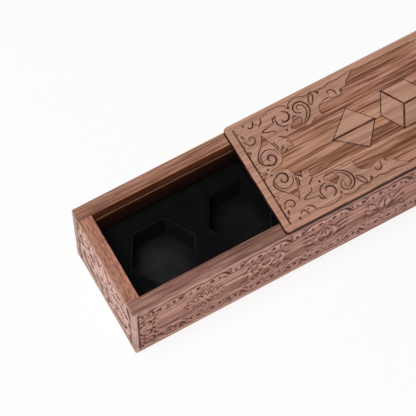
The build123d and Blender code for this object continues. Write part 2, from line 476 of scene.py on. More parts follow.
def lid_spray():
    """One corner's scrolls on the lid: x runs in from its end, y from its long edge."""
    spray = Pattern()
    spray.strokes(
        # the curl by the corner, its tick, and the leaf marks behind it
        (0.61, (5, 10), (6.1, 12.3), (8.2, 13), (9.9, 11.6), (9.6, 9.8), (8, 9.5),
         (7.4, 10.6)),
        (0.82, (5.3, 7.2), (5.8, 9)),
        (0.74, (10, 5.6), (11.4, 5.9), (12.6, 4.7), (12.9, 3.4)),
        (0.7, (14, 6.9), (15.9, 5.7), (16.8, 3.6)),
        # the big volute
        (0.66, (10.4, 15.3), (8.5, 17.3), (7, 19.2), (6.2, 21.3), (7, 23.4), (8.9, 25),
         (11.2, 25.7)),
        (0.53, (7.5, 23), (7.4, 20.8), (8.6, 19), (10.6, 18.1), (12.9, 18.4),
         (14.6, 19.8), (15.2, 21.8)),
        (0.94, (8.9, 24.4), (10.5, 25.4), (12.4, 25), (13.4, 23.3), (12.9, 21.5),
         (11.4, 20.8), (10.1, 21.8), (10.5, 23.1)),
        (0.49, (14.6, 15.4), (15.6, 18.2), (16, 21.4)),
        # the hooks beside it
        (0.7, (16, 16.9), (16.7, 18.7), (16.3, 20.6)),
        (0.74, (17, 21.3), (18.3, 20.6), (18.7, 19.4)),
        (0.74, (19.5, 14.9), (21.2, 16.3), (22.2, 17.1)),
        # the long leaf that points at it
        (0.53, (20.2, 8.7), (17, 9.1), (14.4, 9.8), (16.2, 11.1), (18.9, 11.8),
         (19.6, 13.4)),
        # the second volute, with its outer ring
        (0.86, (26.3, 5.3), (28.1, 6.7), (28.2, 8.9), (26.6, 10.3), (24.8, 10.1),
         (24.5, 9)),
        (0.61, (22.9, 5.6), (22, 7.8), (22.1, 10.1), (23.6, 11.8), (26, 12.3)),
        (0.7, (22.5, 6.1), (21.1, 6.8), (20.6, 8.6)),
        # the open scroll
        (0.78, (33.6, 9.9), (31.5, 8.8), (31.4, 6.3), (33.5, 4.8), (36.2, 5.5),
         (37.8, 8.3), (37.2, 11.5), (34.9, 14), (31.7, 15.5)),
        (0.57, (33.4, 8.5), (32.9, 7.2), (33.9, 6.2), (35.5, 6.9), (36.3, 8.9),
         (35.7, 11.3), (34, 13.3), (32.3, 14.5)),
        # the arch and the tail's veins
        (0.7, (48.3, 8.3), (48.2, 6.9), (49.7, 6.4), (51.1, 7.6), (51.4, 9.9)),
        (0.66, (44.4, 3.7), (44.3, 5.2)),
        (0.9, (53.6, 9.4), (54.4, 8.5)),
        # the outer contour along the lid's long edge
        (0.45, (17.6, 3.6), (19.2, 2.9), (22.5, 2.3), (26, 2.5), (28.5, 3.5), (29.7, 5),
         (31, 3.4), (34, 2.5), (37.2, 3.2), (39, 3.9), (41, 3.4), (42.8, 3.3),
         (44.4, 4.9), (46, 4), (48, 4.4), (51, 3.4), (55, 3.6), (59, 3), (62.4, 2.7)),
    )
    # the almond beside the open scroll, and the border line along the lid's end
    almond = ellipse((40.4, 6.3), 1, 2.8, 119)
    spray.line(np.vstack([almond, almond[:1]]), 0.66)
    spray.line([(BORDER, 3.2), (BORDER, 28)], 0.9)
    # the big volute's horn, the ground by the open scroll, and the border's nicks
    spray.hollow(
        smooth([(12.7, 10.9), (13.7, 12.6), (14.4, 14.6), (14.2, 15.7), (12.2, 15.9),
                (10.3, 15.6), (11.4, 13.9), (12.3, 12.3)], True),
        smooth([(26, 14.2), (27.8, 12.3), (28.9, 10.6), (29.8, 9.4), (31.1, 10.6),
                (32.5, 12), (32, 14), (30.8, 15.5), (28, 15.6)], True),
        [(3.6, 5), (5, 5.7), (3.6, 6.6)], [(3.6, 11.2), (4.7, 12.5), (3.6, 13.6)],
        smooth([(3.6, 15), (5.6, 16.3), (4.3, 17.2), (3.6, 18.4)], True),
        smooth([(3.6, 24.6), (4.6, 26.4), (7, 27.6), (3.6, 27.9)], True))
    spray.dots(1.4, (24.1, 14.1), (8.4, 3.4), (29.7, 5.3), (44.5, 5.2), (7.7, 26.5),
               (19.4, 21.9))
    spray.dots(0.9, (21.8, 18.6), (21.9, 16.6), (10, 5.2), (16, 16.5), (13.6, 5.4))
    return spray


def lid_ground(width, height):
    """The outline of the lowered field between the lid's four sprays."""
    quarter = smooth([
        (7.6, 27.9), (9.9, 27.1), (12.6, 27), (14.9, 25.7), (16.1, 23.3), (16.3, 21.3),
        (17.8, 21.4), (19, 20.1), (19.6, 21.8), (20.8, 20.9), (22.8, 21.6), (22.3, 19),
        (22.9, 16.5), (26.2, 16.4), (31, 16.1), (34.6, 16.6), (37, 15.2), (39.4, 14.9),
        (40.9, 15.5), (40.8, 13.1), (42.2, 10.7), (44.8, 9.3), (47.4, 9.1), (49.4, 10.3),
        (51.4, 10.6), (53.2, 10.4), (54.3, 8.6), (56.5, 8.2), (57.9, 6.3), (60.4, 4.6),
        (62.4, 2.8)])[1:]
    quarter = np.vstack([quarter, [(62.8, 2.6), (66, 3.4), (width / 2, 3.6)]])
    half = np.vstack([quarter, quarter[::-1] * (-1, 1) + (width, 0)])
    return np.vstack([half, half[::-1] * (1, -1) + (0, height)])


def die_facets():
    """Each die outline's facets, along the row, as closed outlines about its middle."""
    size = FIGURE_RADIUS

    def kites(turn):
        side, belt = size * 0.86, size * 0.22
        top, low, knee = (0, size * 0.97), (0, -size * 0.97), (0, -belt * 1.9)
        right, left = (side * 0.62, -belt), (-side * 0.62, -belt)
        facets = [
            [top, right, knee, left],
            [top, (side, belt), (side, -belt), right],
            [top, (-side, belt), (-side, -belt), left],
            [right, (side, -belt), low, knee],
            [left, (-side, -belt), low, knee],
        ]
        return [np.array(facet) * turn for facet in facets]

    half, lean = size * 0.9, size * 0.16
    octahedron = [
        [(half, 0), (lean, half), (-half, 0)],
        [(half, 0), (lean, -half), (-half, 0)],
    ]
    hexagon = ring(6, size, 0)
    cube = [[(0, 0), *(hexagon[(i + k) % 6] for k in range(3))] for i in (0, 2, 4)]
    triangle = ring(3, size, 90)
    tetrahedron = [[(0, 0), triangle[i], triangle[(i + 1) % 3]] for i in range(3)]
    outer, inner = ring(6, size, 30), ring(3, size * 0.58, 90)
    icosahedron = [list(inner)]
    for i in range(3):
        fan = [outer[(2 * i + k) % 6] for k in range(3)]
        icosahedron += [[inner[i], fan[0], fan[1]], [inner[i], fan[1], fan[2]],
                        [inner[i], fan[2], inner[(i + 1) % 3]]]
    rim, face = ring(10, size * 0.98, 90), ring(5, size * 0.55, 90)
    dodecahedron = [list(face)]
    for i in range(5):
        arc = [rim[(2 * i + k) % 10] for k in range(3)]
        dodecahedron.append([face[i], *arc, face[(i + 1) % 5]])
    return [octahedron, cube, tetrahedron, icosahedron, kites(1), dodecahedron,
            kites(-1)]


def lid_pattern(width, height):
    """The lid's carving: a spray in each corner and a row of dice outlines."""
    pattern = Pattern()
    pattern.ground(lid_ground(width, height))
    figures = die_facets()
    for index, facets in enumerate(figures):
        x = width / 2 + (index - (len(figures) - 1) / 2) * FIGURE_PITCH
        place = np.array((x, height / 2))
        sides = {}
        for facet in facets:
            pattern.plate(shrink(facet, FACET_GAP) + place)
            for side in zip(facet, np.roll(facet, -1, 0)):
                middle = tuple(np.round(np.mean(side, 0), 2))
                sides.setdefault(middle, []).append(np.array(side) + place)
        for found in sides.values():
            pattern.line(found[0], STROKE_WIDTH if len(found) > 1 else RIM_WIDTH)
    pattern.corners(lid_spray(), width, height)
    return pattern


def rosette():
    """An eight-petalled flower, pierced between its petals, about 19 mm across."""
    flower = Pattern()
    for turn in range(0, 360, 45):
        long = turn % 90 == 0
        petal = Pattern()
        petal.plate(leaf((0, 1.6), (0, 10.2 if long else 8), 1.55))
        petal.hollow(leaf((0, 4), (0, 7.8 if long else 6.2), 0.55))
        flower.add(petal, turn=turn)
        gap = Pattern()
        gap.hollow(leaf((0, 2.4), (0, 5.6), 0.75))
        gap.plate(leaf((0, 6.6), (0, 9.4), 0.8))
        flower.add(gap, turn=turn + 22.5)
    flower.plate(ellipse((0, 0), 2, 2))
    flower.dots(1.7, (0, 0))
    return flower


def tall_bloom():
    """A bud on a stem inside an open, pointed loop, with a leaf on each side."""
    bloom, half = Pattern(), Pattern()
    bloom.plate(leaf((0, -1), (0, 7), 1.9), leaf((0, -10.2), (0, -1.4), 1))
    bloom.line([(0, 0.8), (0, 4.8)], 0.8)
    loop = smooth([(0.4, -8), (3.6, -3.6), (4.9, 0.8), (3.2, 5.6), (0.4, 10.2)])
    half.plate(band(loop, 0.5, 0.8, 1, 0.8, 0.4),
               leaf((4.6, -6.6), (10.4, -2.6), 1.4, -0.6),
               leaf((5.4, 4.4), (10.8, 7.6), 1.2, 0.5),
               leaf((7, -0.6), (11.2, 2.6), 1, 0.4))
    half.dots(1.5, (2.5, -0.6), (6.4, 1.9), (8.6, -7.8))
    bloom.both(half)
    return bloom


def tall_knot():
    """Two stems that cross twice to make a tall knot, between curling side stems."""
    knot, half = Pattern(), Pattern()
    inner = smooth([(0.3, -10), (2.9, -7.4), (2.6, -4.2), (0.2, -0.4), (-2.6, 3.2),
                    (-2.9, 6.8), (-0.3, 10)])
    outer = smooth([(6.2, -9.6), (8.6, -5.6), (7.4, -1.2), (8.6, 3.4), (7, 8), (4.8, 9)])
    half.plate(band(inner, 0.5, 0.9, 0.9, 0.8, 0.9, 0.9, 0.5),
               band(outer, 0.5, 0.9, 1, 0.9, 0.7, 0.5),
               leaf((3.2, -1.4), (6.6, 1.8), 0.9), leaf((9.4, 1), (12.2, 4.2), 0.9, 0.3),
               leaf((9.2, -5.4), (12.4, -8.2), 0.9, 0.3))
    half.dots(1.5, (0, -6.6), (0, 6.4), (4.4, 5), (4.6, -5.4))
    knot.both(half)
    return knot


def crowned_leaf():
    """A ribbed leaf between curled side leaves, with a knot at its foot."""
    crown, half = Pattern(), Pattern()
    crown.plate(leaf((0, -4.6), (0, 10.4), 2.9), ellipse((0, -7.2), 1.7, 1.7))
    crown.line([(0, -2.2), (0, 7.4)], 1)
    crown.dots(1.5, (0, -7.2))
    curl = smooth([(2.2, -7.6), (4.6, -7.4), (7.4, -8.6), (9.2, -6.6), (7.8, -5.2)])
    half.plate(leaf((2.4, -5), (9.8, 1.4), 1.5, -0.9),
               leaf((4.8, 1.4), (8.6, 8.4), 1.3, -0.5),
               band(curl, 0.7, 0.9, 0.9, 0.8, 0.5))
    half.dots(1.5, (4, -0.4), (9.6, -2.6))
    crown.both(half)
    return crown


def frieze_bay(arch_width):
    """One bay of a long wall's upper frieze: x from its middle cusp, y from the base."""
    bay, half = Pattern(), Pattern()
    half.strokes(
        (arch_width, (0, 41.6), (1, 42.7), (3, 43.6), (5.6, 43.9), (8.2, 43.3),
         (10, 41.8), (11, 39.6), (12, 37.9), (13.4, 37), (15, 36.8)),
        (0.9, (6.4, 41), (7.4, 39.2), (6.6, 37.4)),
        (0.8, (0.4, 39.4), (1.3, 37.8), (2.6, 36.6)),
        (0.9, (8.9, 38.6), (9.6, 36.8), (11, 35.4)),
    )
    half.hollow(ellipse((3.4, 40), 1.2, 1.5, 90), ellipse((12.3, 40.6), 0.8, 1.5, 70),
                ellipse((15, 39.6), 0.8, 1.5, 90), leaf((10.4, 44.3), (13.6, 42.6), 0.75))
    bay.both(half)
    return bay


def field_edge(first, last, middle):
    """The scalloped upper edge of a long wall's field, from x = first to last."""
    scallop = [(0, 34.6), (2.2, 35.6), (5.4, 35.2), (8, 34), (10.4, 34.7), (12.8, 33.6),
               (15, 32.7)]
    bay = [(-x, y) for x, y in reversed(scallop[1:-1])] + scallop
    points = [(middle + BAY_PITCH * k + x, y) for k in range(-5, 6) for x, y in bay]
    return smooth([point for point in points if first < point[0] < last])


def corner_frieze():
    """The scrolls round a long wall's lower left corner and half way up its end."""
    side = Pattern()
    side.line([(2.3, 3.2), (2.3, 24)], 1.2)
    side.strokes(
        (1.3, (3.6, 23.4), (6, 22.2), (8.2, 19.8), (8, 17.2), (6.2, 15.8), (4.6, 17),
         (5.2, 18.8)),
        (1.25, (4.2, 12.2), (7.4, 12.4), (9.6, 10.4), (9.2, 7.4), (6.6, 6), (4.4, 7.4),
         (4.8, 9.6), (6.6, 9.8)),
        (1.3, (13, 7.2), (15.2, 5.4), (18.2, 4.3), (21.6, 4.2)),
    )
    side.hollow(leaf((2.9, 21), (3.8, 17.6), 0.8), leaf((8.6, 23.4), (10.6, 19), 0.9),
                leaf((2.9, 15), (5.4, 12.8), 1), leaf((9.4, 17.6), (10.4, 14.4), 0.8),
                leaf((9.6, 14.6), (12.2, 12.6), 0.9), leaf((3, 6.8), (4, 3.8), 0.85),
                leaf((7.2, 4.6), (11.4, 4), 0.8), leaf((15, 12.4), (19.2, 10.6), 0.9),
                ellipse((7, 8.1), 0.9, 1.1), ellipse((12.2, 8.8), 1.4, 1.6),
                ellipse((16.6, 8.2), 1, 1.2))
    return side


def long_wall_pattern(width, height):
    """A long wall's carving: friezes round a plain field with one motif in each bay."""
    pattern = Pattern()
    middle = width / 2
    edge = field_edge(FIELD_INSET + 3, width - FIELD_INSET - 3, middle)
    left = smooth([(FIELD_INSET + x, y) for x, y in (
        (1.6, 33.4), (-0.9, 30.8), (-0.4, 27.6), (-1.8, 24), (-0.4, 20.4), (-0.9, 17.2),
        (1.6, 14.6))])
    right = left[::-1] * (-1, 1) + (width, 0)
    foot = edge[::-1] * (1, -1) + (0, height)
    pattern.ground(np.vstack([edge, right, foot, left[::-1]]))
    motifs = [crowned_leaf(), tall_bloom(), tall_knot(), rosette()]
    for k in range(-3, 4):
        x = middle + BAY_PITCH * k
        pattern.add(motifs[abs(k)], (x, height / 2))
        pattern.add(frieze_bay(UPPER_ARCH), (x, 0))
        pattern.add(frieze_bay(LOWER_ARCH), (x, height), scale=(1, -1))
    pattern.corners(corner_frieze(), width, height)
    return pattern


def end_pattern(width, height, margin):
    """An end wall's carving: two great scrolls either side of a crowned leaf."""
    pattern, half = Pattern(), Pattern()
    reach, rise = width / 2 - margin, height - 2 * margin
    field = [(2 - reach, 0), (-reach, 2), (-reach, rise - 2), (2 - reach, rise)]
    field += [(-x, y) for x, y in reversed(field)]
    pattern.ground(smooth(field, True))

    def put(points):
        return np.array(points, float) * (reach / DRAWN_REACH, rise / DRAWN_RISE)

    great = [(0.8, 1.6), (6.5, 1.4), (14.5, 2.6), (20.6, 8.4), (21.4, 16.8), (16.6, 22.6),
             (10.4, 21.4), (8.4, 16.4), (11.2, 12.6), (15, 13.6), (15.6, 16.6)]
    upper = [(20.4, 20.6), (22.4, 26), (21.2, 33.6), (16.2, 38.6), (10.6, 36.6),
             (10.4, 31.6), (14.2, 29.6), (16.8, 32)]
    half.plate(band(smooth(put(great)), 1.1, 1.8, 2.1, 2, 1.8, 1.5, 1.1, 0.6),
               ellipse(put((13.9, 16.6)), 1.7, 1.7),
               band(smooth(put(upper)), 1, 1.6, 1.7, 1.4, 1.1, 0.6),
               ellipse(put((14.8, 32.8)), 1.4, 1.4))
    for root, tip, *shape in (
        ((3, 3.4), (8.6, 11.4), 1.9, -0.8), ((17.6, 4), (23.6, 1.2), 1.4, 0.6),
        ((21.6, 11), (24, 19.8), 1.2, -0.4), ((9.4, 22.8), (2.4, 19), 1.6, 0.8),
        ((18.2, 38.2), (23.6, 40.8), 1.3, -0.4), ((11.6, 38.4), (5, 41), 1.2, 0.5),
        ((18, 22.4), (13.2, 27.6), 1.4, 0.6), ((1.4, 24.4), (7.4, 35.4), 1.8, -0.8),
        ((1.6, 22.6), (9.4, 28.2), 1.5, -0.7),
    ):
        half.plate(leaf(put(root), put(tip), *shape))
    half.strokes((1, *put([(7, 1.8), (14.2, 3.4), (19.2, 9), (20, 16), (16.4, 20.6)])),
                 (0.9, *put([(20.9, 24), (21.6, 28), (20, 33.4), (16.2, 36.8)])),
                 (0.9, *put([(2.6, 26.4), (4.6, 29.6), (6.2, 33)])))
    half.dots(3.4, put((22.6, 39.4)))
    half.dots(2.6, *put([(23.4, 14.8), (12.4, 25.2)]))
    half.dots(2.2, *put([(4, 14.6), (9.2, 40.2)]))
    pattern.both(half)
    pattern.plate(leaf(put((0, 22)), put((0, 41.4)), 2.9),
                  leaf(put((0, 2)), put((0, 15.4)), 2.2),
                  ellipse(put((0, 18.8)), 1.9, 1.9))
    pattern.line(put([(0, 25.4), (0, 37)]), 1.1)
    pattern.line(put([(0, 4.6), (0, 11.6)]), 1.1)
    return pattern


# ---- Materials ----

# Walnut's grain: length and width in millimetres, noise detail, share of the whole
GRAIN = ((230, 8, 3, 0.36), (110, 2.6, 3, 0.45), (60, 1, 3, 0.42), (13, 0.45, 2, 0.56))
END_GRAIN = ((230, 8, 3, 0.34), (110, 2.6, 3, 0.36), (13, 0.45, 2, 0.45),
             (2.6, 0.6, 2, 0.55))
# Its dark, middle and light tones on each board, and the tints that vary them
LID_TONES = (0.165, 0.073, 0.047), (0.40, 0.21, 0.148), (0.58, 0.335, 0.25)
LONG_TONES = (0.075, 0.029, 0.022), (0.243, 0.115, 0.088), (0.40, 0.229, 0.186)
BACK_TONES = (0.09, 0.033, 0.023), (0.28, 0.126, 0.086), (0.45, 0.235, 0.17)
END_TONES = (0.12, 0.042, 0.028), (0.385, 0.168, 0.112), (0.56, 0.29, 0.21)
LID_HUES = (1.0, 0.955, 0.965), (0.975, 0.98, 0.9)
WALL_HUES = (1.0, 0.96, 0.965), (0.95, 0.985, 0.885)
# The lid board's strong streaks: millimetres from its front edge, strength, half width
LID_MARKS = (
    (3.7, 0.6, 0.5), (12.4, 0.4, 0.8), (18.2, 0.6, 0.5), (22.4, 0.9, 0.5),
    (25, -0.7, 1.3), (27.5, 1, 0.5), (34, 0.7, 0.5), (36.6, -0.4, 1.1),
    (40.6, 0.7, 0.5), (47.6, 0.5, 0.6),
)
STREAK_DRIFT = 1.6 * MM
# The carving: the char in cut lines, also used for the painted shadow at steps' feet and
# under the lid's edge, and the tints of the lowered ground
BURNT = (0.06, 0.019, 0.011)
BLACKEST = (0.02, 0.006, 0.004)
GROUND_DARK = (0.76, 0.66, 0.59)
GROUND_MIDDLE = (0.84, 0.765, 0.705)
GROUND_LIGHT = (0.94, 0.885, 0.835)
# Painted sheen and light: the paler, greyer colour of the box's end faces
END_SHEEN_PALE = (0.65, 0.53, 0.5)
UNDER_TOP = 0.0476  # metres up, just below the walls' top
# Painted shade towards the box's foot: where it ends, in metres, and its tint
FOOT_SHADE_TOP = 0.015
FOOT_SHADE_TINT = (0.82, 0.81, 0.79)
# Painted shade on the walls' inner faces: levels in metres, and tints at shares of the
# way between
INNER_SHADE_LEVELS = (0.02, 0.05)
INNER_SHADE_TINTS = ((0.2, (0.05, 0.045, 0.045)), (0.5, (0.16, 0.13, 0.11)),
               (0.68, (0.55, 0.33, 0.22)), (0.76, (0.9, 0.62, 0.45)),
               (0.82, (1, 0.7, 0.42)))
WHITE = (1, 1, 1)
NICKEL = (0.62, 0.61, 0.6)
# The insert's pockets, in metres: where their floors, painted lit spots and painted rim
# highlights are
POCKET_PITCH = 0.0382
POCKET_FLOOR = (0.015, 0.009)
LIT_FLOOR_SPOT = (0.0155, 0.007)
LIT_ALONG = (-0.066, -0.082)  # painted light rises from the second pocket to the first
LEAST_LIT = 0.2
RIM_LOW, RIM_HIGH = 0.00135, 0.0008
RIM_HIGHLIGHT = 0.38


class Nodes:
    """A material's or the world's nodes, with short calls that make and join them."""

    def __init__(self, owner):
        owner.use_nodes = True
        self.owner, self.tree = owner, owner.node_tree
        self.shader, self.output = sorted(
            self.tree.nodes, key=lambda node: node.type.startswith("OUTPUT"))

    def make(self, kind, values=None, **settings):
        """A node; values sets or joins its inputs by name or number."""
        node = self.tree.nodes.new(kind)
        for name, value in settings.items():
            setattr(node, name, value)
        self.fill(node, values or {})
        return node

    def fill(self, node, values):
        """Sets or joins a node's inputs."""
        for name, value in values.items():
            socket = node.inputs[name]
            if isinstance(value, bpy.types.NodeSocket):
                self.tree.links.new(value, socket)
            elif socket.type == "RGBA" and len(value) == 3:
                socket.default_value = (*value, 1)
            else:
                socket.default_value = value

    def math(self, operation, a, b=0.0, clamp=False):
        """One sum on two numbers."""
        node = self.make("ShaderNodeMath", {0: a, 1: b}, operation=operation,
                         use_clamp=clamp)
        return node.outputs[0]

    def times(self, a, b):
        """Two numbers multiplied."""
        return self.math("MULTIPLY", a, b)

    def ramp(self, value, *stops):
        """A ramp from colours, or numbers as greys; each stop is its place and colour."""
        node = self.make("ShaderNodeValToRGB", {0: value})
        elements = node.color_ramp.elements
        while len(elements) < len(stops):
            elements.new(0.5)
        for element, (place, colour) in zip(elements, stops):
            element.position = place
            element.color = (*(colour if isinstance(colour, tuple) else (colour,) * 3), 1)
        return node.outputs[0]

    def rise(self, value, start, end, least=0.0):
        """A number from least to 1 as the value goes from start to end."""
        values = {"Value": value, "From Min": start, "From Max": end, "To Min": least}
        return self.make("ShaderNodeMapRange", values).outputs[0]

    def mix(self, share, a, b, kind="MIX"):
        """Mixes two colours."""
        node = self.make("ShaderNodeMix", data_type="RGBA", blend_type=kind)
        self.fill(node, {0: share, 6: a, 7: b})
        return node.outputs[2]

    def tinted(self, colour, tint):
        """A colour multiplied by another."""
        return self.mix(1.0, colour, tint, "MULTIPLY")

    def place(self, scales=(1, 1, 1), shift=(0, 0, 0)):
        """The piece's own coordinates in metres, scaled on each axis, then shifted."""
        values = {"Vector": self.make("ShaderNodeTexCoord").outputs["Object"],
                  "Scale": scales, "Location": shift}
        return self.make("ShaderNodeMapping", values).outputs[0]

    def axes(self):
        """The piece's own x, y and z, in metres."""
        return self.make("ShaderNodeSeparateXYZ", {0: self.place()}).outputs

    def noise(self, scales, shift=(0, 0, 0), detail=3.0, roughness=0.5, distortion=0.0):
        """Cloudy noise from 0 to 1, with this many waves per metre along each axis."""
        values = {"Vector": self.place(scales, shift), "Scale": 1.0, "Detail": detail,
                  "Roughness": roughness, "Distortion": distortion}
        return self.make("ShaderNodeTexNoise", values).outputs[0]

    def attribute(self, name):
        """A number kept on the mesh's vertices."""
        return self.make("ShaderNodeAttribute", attribute_name=name).outputs["Fac"]

    def bump(self, strength, distance, height):
        """Roughens the surface's own shading; distance in metres."""
        values = {"Strength": strength, "Distance": distance, "Height": height}
        bump = self.make("ShaderNodeBump", values)
        self.fill(self.shader, {"Normal": bump.outputs[0]})


def new_nodes(name):
    """The nodes of a new material."""
    return Nodes(bpy.data.materials.new(name))


def grain_scales(axis, along, across):
    """Noise scales for grain that runs along one axis; lengths in millimetres."""
    scales = [1000 / across] * 3
    scales[axis] = 1000 / along
    return tuple(scales)


def streaks(n, marks):
    """The lid board's own strong streaks, from -0.5 to 0.5."""
    drift = n.noise((14, 40, 40), detail=2)
    shift = n.times(n.math("SUBTRACT", drift, 0.5), STREAK_DRIFT)
    from_edge = n.math("ADD", n.axes()["Y"], lid_half_width)
    across = n.math("DIVIDE", n.math("ADD", from_edge, shift), 2 * lid_half_width)
    stops = [(0, 0.5)]
    for spot, strength, half in marks:
        for side, lift in ((-1, 0), (0, strength / 2), (1, 0)):
            stops.append(((spot + side * half) * MM / (2 * lid_half_width), 0.5 + lift))
    fade = n.ramp(n.noise((22, 160, 160), detail=1), (0.36, 0.3), (0.56, 1))
    return n.times(n.math("SUBTRACT", n.ramp(across, *stops), 0.5), fade)


def painted_foot_shade(n, colour):
    """Painted shade: darker wood towards the bottom of the box."""
    level = n.rise(n.axes()["Z"], 0, FOOT_SHADE_TOP)
    return n.tinted(colour, n.ramp(level, (0.62, FOOT_SHADE_TINT), (0.9, WHITE)))


def painted_inner_shade(n, colour):
    """Painted shade on the walls' inner faces: darker, redder wood, down to near black by
    the insert.
    """
    x, y, z = n.axes()
    within = n.times(n.math("LESS_THAN", n.math("ABSOLUTE", y), wall_inside.y + 1e-4),
                     n.math("LESS_THAN", n.math("ABSOLUTE", x), wall_inside.x + 1e-4))
    tint = n.ramp(n.rise(z, *INNER_SHADE_LEVELS), *INNER_SHADE_TINTS)
    return n.mix(within, colour, n.tinted(colour, tint))


def painted_end_sheen(n, colour, depth, share):
    """Painted sheen: paler, greyer wood on the box's end faces, to a depth in metres, but
    not on its top.
    """
    x, _, z = n.axes()
    ends = n.math("GREATER_THAN", n.math("ABSOLUTE", x), box_half_length - depth)
    ends = n.times(ends, n.math("LESS_THAN", z, UNDER_TOP))
    return n.mix(n.times(ends, share), colour, END_SHEEN_PALE)


def walnut(name, axis, seed, tones, marks=None, ground_share=1.0, gloss=0.05, carved=True,
           end_sheen=None, box=False, calm=0.5, hues=LID_HUES, grain=GRAIN):
    """Oiled walnut: bands, streaks and threads along the grain, pores, and char; where
    asked, also painted sheen on the end faces and painted shade at the foot and inside
    the box.
    """
    n = new_nodes(name)
    dark, middle, light = tones
    shift = (seed * 1.7, seed * 2.3, seed * 0.9)
    blend = 0.5
    for along, across, detail, share in grain:
        layer = n.noise(grain_scales(axis, along, across), shift, detail, distortion=0.3)
        blend = n.math("ADD", blend, n.times(n.math("SUBTRACT", layer, 0.5), share))
    if marks:
        blend = n.math("SUBTRACT", blend, n.times(streaks(n, marks), 0.3))
    colour = n.ramp(blend, (0.36, dark), (0.49, middle), (0.62, light))
    hue = n.noise(grain_scales(axis, 90, 5), shift[::-1], 2)
    colour = n.tinted(colour, n.ramp(hue, (0.4, hues[0]), (0.6, hues[1])))
    pores = n.ramp(n.noise(grain_scales(axis, 3.2, 0.2), shift, 1), (0.6, 0), (0.74, 1))
    colour = n.mix(n.times(pores, 0.4), colour, dark)
    if carved:
        cut, ground = n.attribute("cut"), n.attribute("ground")
        even = tuple(0.6 * a + 0.4 * b for a, b in zip(middle, light))
        face = n.mix(calm, colour, even)
        # painted sheen on the end faces
        if end_sheen:
            face = painted_end_sheen(n, face, *end_sheen)
        deep = n.ramp(blend, (0.38, GROUND_DARK), (0.49, GROUND_MIDDLE),
                      (0.6, GROUND_LIGHT))
        colour = n.mix(ground, face, n.mix(ground_share, face, n.tinted(colour, deep)))
        # shallow cuts are unevenly burnt, the deepest wholly; the same char also paints
        # the shadow at steps' feet and on the lid's lower edge
        burnt = n.ramp(cut, (0.08, 0), (0.7, 0.94), (0.95, 1))
        patchy = n.ramp(n.noise((150,) * 3, shift, 2), (0.36, 0.72), (0.56, 1))
        patchy = n.math("MAXIMUM", patchy, n.ramp(cut, (0.85, 0), (0.97, 1)))
        char = n.ramp(cut, (0.7, BURNT), (0.97, BLACKEST))
        colour = n.mix(n.times(burnt, patchy), colour, char)
    # painted shade at the box's foot and on the walls' inner faces
    if box:
        colour = painted_inner_shade(n, painted_foot_shade(n, colour))
    n.fill(n.shader, {"Base Color": colour, "Specular IOR Level": gloss,
                      "Roughness": n.ramp(blend, (0.3, 0.66), (0.7, 0.54))})
    n.bump(0.3, 0.12 * MM, n.math("SUBTRACT", n.times(blend, 0.5), pores))
    return n.owner


def flock(name):
    """Black flocking, with painted light: paler pocket floors and brighter rims, most in
    the first pocket.
    """
    n = new_nodes(name)
    fibre = n.noise((3600,) * 3, roughness=0.7)
    cloud = n.ramp(n.noise((150,) * 3), (0.3, 0.75), (0.7, 1.2))
    x, y, z = n.axes()
    along = n.math("PINGPONG", n.math("ADD", x, POCKET_PITCH * 4.5), POCKET_PITCH / 2)
    away = n.math("POWER", n.math("ADD", n.times(along, along), n.times(y, y)), 0.5)
    # painted light: paler floor spots and rim highlights, strongest in the first pocket
    lit_share = n.rise(x, *LIT_ALONG, LEAST_LIT)
    floor = n.times(n.times(n.rise(z, *POCKET_FLOOR), n.rise(away, *LIT_FLOOR_SPOT)), lit_share)
    # painted highlight on the pockets' rims
    rim = n.times(n.math("GREATER_THAN", z, insert_top - RIM_LOW),
                  n.math("LESS_THAN", z, insert_top - RIM_HIGH))
    rim = n.times(rim, n.times(n.math("ADD", lit_share, LEAST_LIT), RIM_HIGHLIGHT))
    dark = n.ramp(fibre, (0.35, (0.0018, 0.0018, 0.0022)), (0.7, (0.0062, 0.006, 0.0066)))
    pale = n.ramp(fibre, (0.35, (0.010, 0.0096, 0.0112)), (0.7, (0.024, 0.023, 0.026)))
    colour = n.mix(n.math("ADD", floor, rim, True), dark, pale)
    n.fill(n.shader, {"Base Color": n.tinted(colour, cloud), "Roughness": 0.95,
                      "Specular IOR Level": 0.06, "Sheen Weight": 0.015,
                      "Sheen Roughness": 0.4})
    n.bump(0.6, 0.2 * MM, fibre)
    return n.owner


def nickel(name):
    """Plated magnet faces with a little handling haze."""
    n = new_nodes(name)
    haze = n.ramp(n.noise((900,) * 3), (0.3, 0.18), (0.7, 0.34))
    n.fill(n.shader, {"Base Color": NICKEL, "Metallic": 1.0, "Roughness": haze})
    return n.owner


lid_half_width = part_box("lid_panel")[1].y
insert_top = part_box("insert")[1].z
box_half_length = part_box("right_end_wall")[1].x
wall_inside = Vector((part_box("right_end_wall")[0].x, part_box("back_wall")[0].y))

lid_walnut = walnut("walnut_lid", 0, 3.1, LID_TONES, LID_MARKS, gloss=0.03)
front_walnut, back_walnut = (
    walnut(f"walnut_{side}_wall", 0, 7.4, tones, ground_share=0.45, gloss=0.08,
           end_sheen=(0.0022, 0.2), box=True, calm=0.2, hues=WALL_HUES)
    for side, tones in (("front", LONG_TONES), ("back", BACK_TONES)))
end_walnut = walnut("walnut_end_walls", 1, 5.2, END_TONES, ground_share=0.25, gloss=0.1,
                    end_sheen=(0.0009, 0.37), box=True, calm=0.3, hues=WALL_HUES,
                    grain=END_GRAIN)
plain_walnut = walnut("walnut_plain", 0, 9.9, LONG_TONES, carved=False)
black_flock = flock("black_flock")
magnet_nickel = nickel("magnet_nickel")


# ---- Pieces ----

def round_edge(distance, radius):
    """How far a rounded edge lies below its face, at a distance from the edge."""
    inner = np.clip(radius - distance, 0, radius)
    return radius - np.sqrt(radius ** 2 - inner ** 2)


def from_edges(relief):
    """Each grid column's and row's distance from the nearer edge."""
    across = np.minimum(relief.x - relief.x[0], relief.x[-1] - relief.x)[None, :]
    up = np.minimum(relief.y - relief.y[0], relief.y[-1] - relief.y)[:, None]
    return across, up


